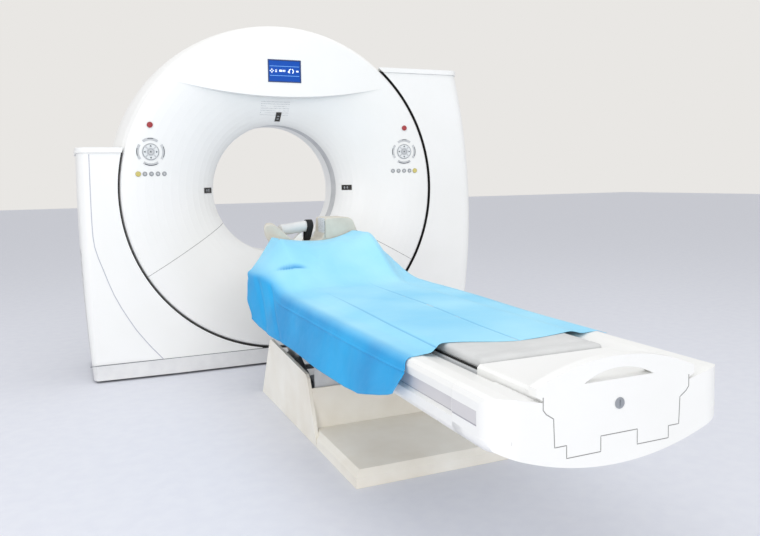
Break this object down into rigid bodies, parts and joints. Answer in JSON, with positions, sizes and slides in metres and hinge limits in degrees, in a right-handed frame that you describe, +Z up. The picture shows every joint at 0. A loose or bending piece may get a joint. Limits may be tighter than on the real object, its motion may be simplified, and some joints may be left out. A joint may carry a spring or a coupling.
{
  "type": "ct scanner",
  "caption": "Whole-body CT scanner: tilting ring with a wide bore on a floor stand, and a scissor-lift couch whose tabletop slides into the bore.",
  "frame": {"origin": "on the floor, straight under the isocentre, at the middle of the stand's four anchor bolts", "axes": "+X to the viewer's right when facing the bore, +Y into the bore along its axis, +Z up"},
  "size_m": [2.3956, 3.393, 2.0069],
  "materials": {
    "cover_plastic": "painted moulded cover, satin gloss",
    "plinth_plastic": "moulded plinth, matt",
    "base_paint": "powder coated sheet",
    "frame_paint": "painted steel",
    "bare_steel": "machined steel",
    "rotor_metal": "cast and machined",
    "detector_paint": "painted",
    "trim_plastic": "moulded grey plastic",
    "lamp_key": "translucent yellow key cap",
    "stop_red": "red stop cap",
    "bezel_plastic": "dark grey bezel",
    "screen_glass": "lit display behind glass",
    "window_glass": "dark laser window",
    "tabletop_carbon": "carbon laminate with pale gelcoat",
    "pad_vinyl": "pale grey vinyl",
    "head_foam": "grey moulded foam",
    "strap_web": "black strap",
    "sheet_cloth": "thin blue nonwoven sheet"
  },
  "bodies": {
    "stand": {"stand_frame": "frame_paint", "tilt_bearings": "bare_steel", "tilt_drive": "frame_paint", "left_stand_cover": "cover_plastic", "right_stand_cover": "cover_plastic", "left_cap": "cover_plastic", "right_cap": "cover_plastic", "plinth": "plinth_plastic", "vent_louvres": "plinth_plastic", "table_base_frame": "frame_paint", "left_cheek": "base_paint", "right_cheek": "base_paint", "base_box": "base_paint", "floor_plate": "base_paint", "cable_duct": "trim_plastic", "lift_drive": "frame_paint"},
    "gantry_ring": {"tilt_frame": "frame_paint", "front_upper_cover": "cover_plastic", "front_lower_cover": "cover_plastic", "rear_cover": "cover_plastic", "rim_cover": "cover_plastic", "scan_window": "trim_plastic", "display_frame": "bezel_plastic", "display_screen": "screen_glass", "laser_windows": "window_glass", "arc_keys": "trim_plastic"},
    "rotor": {"rotor_drum": "rotor_metal", "xray_tube": "rotor_metal", "detector_array": "detector_paint", "generators": "rotor_metal"},
    "outer_arms": {"outer_lift_arms": "bare_steel"},
    "inner_arms": {"inner_lift_arms": "bare_steel"},
    "couch_carriage": {"carriage_frame": "frame_paint", "left_side_cover": "cover_plastic", "right_side_cover": "cover_plastic", "foot_housing": "cover_plastic", "belly_pan": "cover_plastic", "lift_skirt": "trim_plastic"},
    "couch_top": {"tabletop": "tabletop_carbon", "mattress": "pad_vinyl", "foot_moulding": "cover_plastic", "head_cradle": "head_foam", "head_cushion": "pad_vinyl", "head_strap": "strap_web", "couch_sheet": "sheet_cloth"},
    "foot_lock": {"foot_lock": "bare_steel"},
    "left_stop_button": {"left_stop_button": "stop_red"},
    "left_pad": {"left_pad": "trim_plastic"},
    "left_key_1": {"left_key_1": "lamp_key"},
    "left_key_2": {"left_key_2": "trim_plastic"},
    "left_key_3": {"left_key_3": "trim_plastic"},
    "left_key_4": {"left_key_4": "trim_plastic"},
    "left_key_5": {"left_key_5": "trim_plastic"},
    "right_stop_button": {"right_stop_button": "stop_red"},
    "right_pad": {"right_pad": "trim_plastic"},
    "right_key_1": {"right_key_1": "trim_plastic"},
    "right_key_2": {"right_key_2": "trim_plastic"},
    "right_key_3": {"right_key_3": "trim_plastic"},
    "right_key_4": {"right_key_4": "trim_plastic"},
    "right_key_5": {"right_key_5": "lamp_key"}
  },
  "joints": [
    {"name": "gantry_tilt", "type": "hinge", "parent": "stand", "child": "gantry_ring", "pos_m": [0, 0, 1.03], "axis": [1, 0, 0], "range_deg": [-30, 30]},
    {"name": "rotor_spin", "type": "hinge", "parent": "gantry_ring", "child": "rotor", "pos_m": [0, 0, 1.03], "axis": [0, 1, 0], "continuous": true},
    {"name": "couch_lift", "type": "hinge", "parent": "stand", "child": "outer_arms", "pos_m": [0, -0.885, 0.12], "axis": [-1, 0, 0], "range_deg": [-8.6, 38.6]},
    {"name": "lift_cross", "type": "hinge", "parent": "outer_arms", "child": "inner_arms", "pos_m": [0, -1.20573, 0.26012], "axis": [-1, 0, 0], "range_deg": [-77.3, 17.3]},
    {"name": "couch_level", "type": "hinge", "parent": "inner_arms", "child": "couch_carriage", "pos_m": [0, -0.885, 0.40024], "axis": [-1, 0, 0], "range_deg": [-8.7, 38.7]},
    {"name": "couch_slide", "type": "slide", "parent": "couch_carriage", "child": "couch_top", "axis": [0, 1, 0], "range_m": [0, 0.45]},
    {"name": "foot_lock_turn", "type": "hinge", "parent": "couch_top", "child": "foot_lock", "pos_m": [0, -3.09, 0.535], "axis": [0, 1, 0], "range_deg": [0, 90]},
    {"name": "left_stop_button_press", "type": "slide", "parent": "gantry_ring", "child": "left_stop_button", "axis": [-0.0696, 0.997, 0.0333], "range_m": [0, 0.004], "stiffness_N_per_m": 600},
    {"name": "left_pad_press", "type": "slide", "parent": "gantry_ring", "child": "left_pad", "axis": [-0.1445, 0.9886, 0.0414], "range_m": [0, 0.002], "stiffness_N_per_m": 600},
    {"name": "left_key_1_press", "type": "slide", "parent": "gantry_ring", "child": "left_key_1", "axis": [-0.0874, 0.9961, 0.0104], "range_m": [0, 0.0025], "stiffness_N_per_m": 600},
    {"name": "left_key_2_press", "type": "slide", "parent": "gantry_ring", "child": "left_key_2", "axis": [-0.1359, 0.9906, 0.0168], "range_m": [0, 0.0025], "stiffness_N_per_m": 600},
    {"name": "left_key_3_press", "type": "slide", "parent": "gantry_ring", "child": "left_key_3", "axis": [-0.179, 0.9836, 0.0232], "range_m": [0, 0.0025], "stiffness_N_per_m": 600},
    {"name": "left_key_4_press", "type": "slide", "parent": "gantry_ring", "child": "left_key_4", "axis": [-0.2196, 0.9751, 0.0298], "range_m": [0, 0.0025], "stiffness_N_per_m": 600},
    {"name": "left_key_5_press", "type": "slide", "parent": "gantry_ring", "child": "left_key_5", "axis": [-0.2593, 0.9651, 0.037], "range_m": [0, 0.0025], "stiffness_N_per_m": 600},
    {"name": "right_stop_button_press", "type": "slide", "parent": "gantry_ring", "child": "right_stop_button", "axis": [0.0696, 0.997, 0.0333], "range_m": [0, 0.004], "stiffness_N_per_m": 600},
    {"name": "right_pad_press", "type": "slide", "parent": "gantry_ring", "child": "right_pad", "axis": [0.1445, 0.9886, 0.0414], "range_m": [0, 0.002], "stiffness_N_per_m": 600},
    {"name": "right_key_1_press", "type": "slide", "parent": "gantry_ring", "child": "right_key_1", "axis": [0.2593, 0.9651, 0.037], "range_m": [0, 0.0025], "stiffness_N_per_m": 600},
    {"name": "right_key_2_press", "type": "slide", "parent": "gantry_ring", "child": "right_key_2", "axis": [0.2196, 0.9751, 0.0298], "range_m": [0, 0.0025], "stiffness_N_per_m": 600},
    {"name": "right_key_3_press", "type": "slide", "parent": "gantry_ring", "child": "right_key_3", "axis": [0.179, 0.9836, 0.0232], "range_m": [0, 0.0025], "stiffness_N_per_m": 600},
    {"name": "right_key_4_press", "type": "slide", "parent": "gantry_ring", "child": "right_key_4", "axis": [0.1359, 0.9906, 0.0168], "range_m": [0, 0.0025], "stiffness_N_per_m": 600},
    {"name": "right_key_5_press", "type": "slide", "parent": "gantry_ring", "child": "right_key_5", "axis": [0.0874, 0.9961, 0.0104], "range_m": [0, 0.0025], "stiffness_N_per_m": 600}
  ],
  "couplings": [
    {"joint": "lift_cross", "follows": "couch_lift", "ratio": -2},
    {"joint": "couch_level", "follows": "couch_lift", "ratio": 1}
  ]
}
